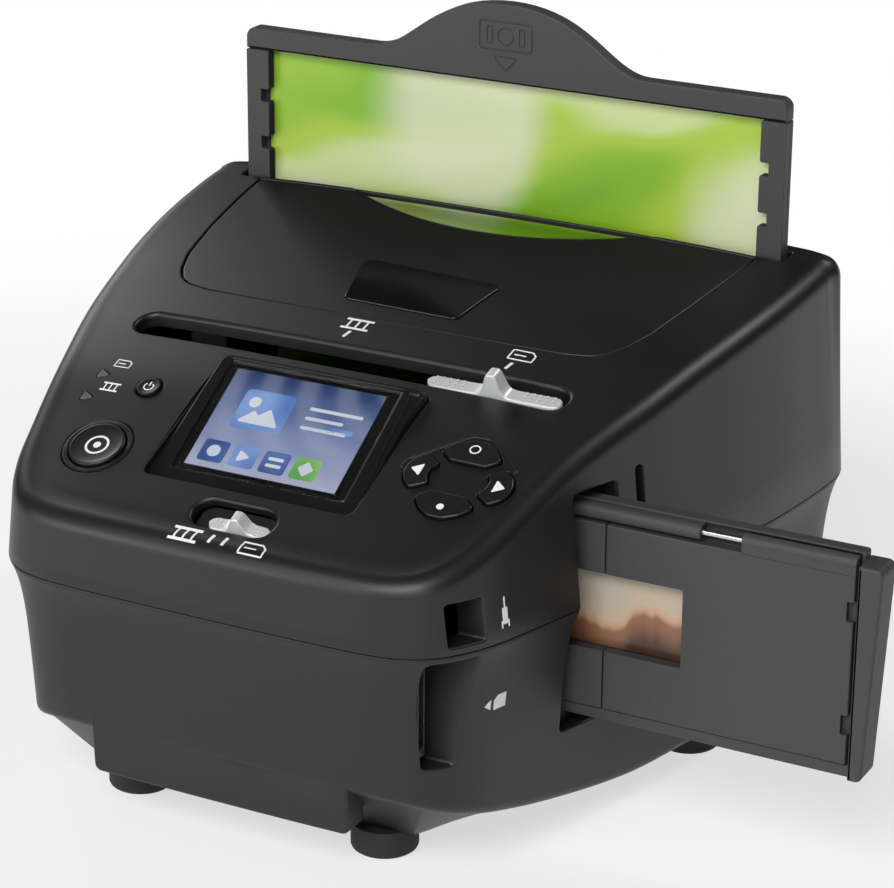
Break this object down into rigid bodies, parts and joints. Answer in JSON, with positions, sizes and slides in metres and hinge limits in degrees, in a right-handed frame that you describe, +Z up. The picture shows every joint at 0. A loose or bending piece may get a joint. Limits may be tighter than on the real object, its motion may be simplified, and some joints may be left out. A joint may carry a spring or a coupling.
{
  "type": "film negative scanner",
  "caption": "Desktop scanner for film strips and paper photos, with a lift-out photo tray, a slide-in hinged film holder, a tilted display, press keys and slide switches.",
  "frame": {"origin": "on the table under the middle of the whole object's bounding box", "axes": "+Z up, -Y the front with the control panel, +X the side the film holder slides out of"},
  "size_m": [0.2954, 0.2021, 0.2125],
  "materials": {
    "black_plastic": "satin black with a very fine texture",
    "lower_plastic": "satin black, a little duller",
    "gloss_black": "gloss black",
    "window": "clear polished",
    "screen": "display picture in blues",
    "key_plastic": "satin black",
    "indicator": "grey lens",
    "silver_plastic": "silver painted",
    "charcoal_plastic": "fine grained matte",
    "print": "glossy photo paper, soft green and yellow picture",
    "film": "dark film with warm pictures",
    "steel": "plain",
    "rubber": "matte black",
    "lens_glass": "coated",
    "lamp_white": "white diffuser",
    "board": "green solder mask"
  },
  "bodies": {
    "housing": {"upper_housing": "black_plastic", "lower_housing": "lower_plastic", "top_cover": "black_plastic", "badge_plate": "gloss_black", "foot_1": "rubber", "foot_2": "rubber", "foot_3": "rubber", "foot_4": "rubber", "case_screw_1": "steel", "case_screw_2": "steel", "case_screw_3": "steel", "case_screw_4": "steel", "display_bezel": "gloss_black", "display_window": "window", "display_module": "screen", "scan_ring": "key_plastic", "indicator_1": "indicator", "indicator_2": "indicator", "chassis": "key_plastic", "film_gate": "key_plastic", "tray_guide_left": "key_plastic", "tray_guide_right": "key_plastic", "camera_body": "key_plastic", "camera_lens": "lens_glass", "camera_stand": "key_plastic", "photo_lamp_left": "lamp_white", "photo_lamp_right": "lamp_white", "control_board": "board", "main_board": "board", "port_board": "board", "card_socket": "steel", "usb_socket": "steel"},
    "photo_tray": {"tray_back": "charcoal_plastic", "tray_frame": "charcoal_plastic", "photo_print": "print"},
    "film_holder": {"holder_frame": "charcoal_plastic", "holder_inner_leaf": "charcoal_plastic", "hinge_pin": "steel", "film_strip": "film"},
    "holder_cover": {"holder_lid": "charcoal_plastic"},
    "light_slide": {"light_slider": "silver_plastic", "light_carriage": "key_plastic", "film_backlight": "lamp_white"},
    "lens_slide": {"lens_slider": "silver_plastic", "lens_carriage": "key_plastic", "close_up_lens": "lens_glass"},
    "scan_key": {"scan_button": "key_plastic"},
    "power_key": {"power_button": "key_plastic"},
    "pad_key_right": {"pad_right": "key_plastic"},
    "pad_key_up": {"pad_up": "key_plastic"},
    "pad_key_left": {"pad_left": "key_plastic"},
    "pad_key_down": {"pad_down": "key_plastic"}
  },
  "joints": [
    {"name": "tray_lift", "type": "slide", "parent": "housing", "child": "photo_tray", "axis": [0, 0, 1], "range_m": [-0.024, 0.06]},
    {"name": "holder_slide", "type": "slide", "parent": "housing", "child": "film_holder", "axis": [1, 0, 0], "range_m": [0, 0.06]},
    {"name": "cover_hinge", "type": "hinge", "parent": "film_holder", "child": "holder_cover", "pos_m": [0.0993, -0.0363, 0.1028], "axis": [-1, 0, 0], "range_deg": [0, 100]},
    {"name": "light_slide", "type": "slide", "parent": "housing", "child": "light_slide", "axis": [1, 0, 0], "range_m": [-0.055, 0]},
    {"name": "lens_slide", "type": "slide", "parent": "housing", "child": "lens_slide", "axis": [1, 0, 0], "range_m": [-0.0043, 0]},
    {"name": "scan_press", "type": "slide", "parent": "housing", "child": "scan_key", "axis": [0, 0.4131, -0.9107], "range_m": [0, 0.0008], "stiffness_N_per_m": 900, "springref_m": -0.0004},
    {"name": "power_press", "type": "slide", "parent": "housing", "child": "power_key", "axis": [0, 0.4131, -0.9107], "range_m": [0, 0.0008], "stiffness_N_per_m": 900, "springref_m": -0.0004},
    {"name": "right_press", "type": "slide", "parent": "housing", "child": "pad_key_right", "axis": [0, 0.4131, -0.9107], "range_m": [0, 0.0008], "stiffness_N_per_m": 900, "springref_m": -0.0004},
    {"name": "up_press", "type": "slide", "parent": "housing", "child": "pad_key_up", "axis": [0, 0.4131, -0.9107], "range_m": [0, 0.0008], "stiffness_N_per_m": 900, "springref_m": -0.0004},
    {"name": "left_press", "type": "slide", "parent": "housing", "child": "pad_key_left", "axis": [0, 0.4131, -0.9107], "range_m": [0, 0.0008], "stiffness_N_per_m": 900, "springref_m": -0.0004},
    {"name": "down_press", "type": "slide", "parent": "housing", "child": "pad_key_down", "axis": [0, 0.4131, -0.9107], "range_m": [0, 0.0008], "stiffness_N_per_m": 900, "springref_m": -0.0004}
  ]
}
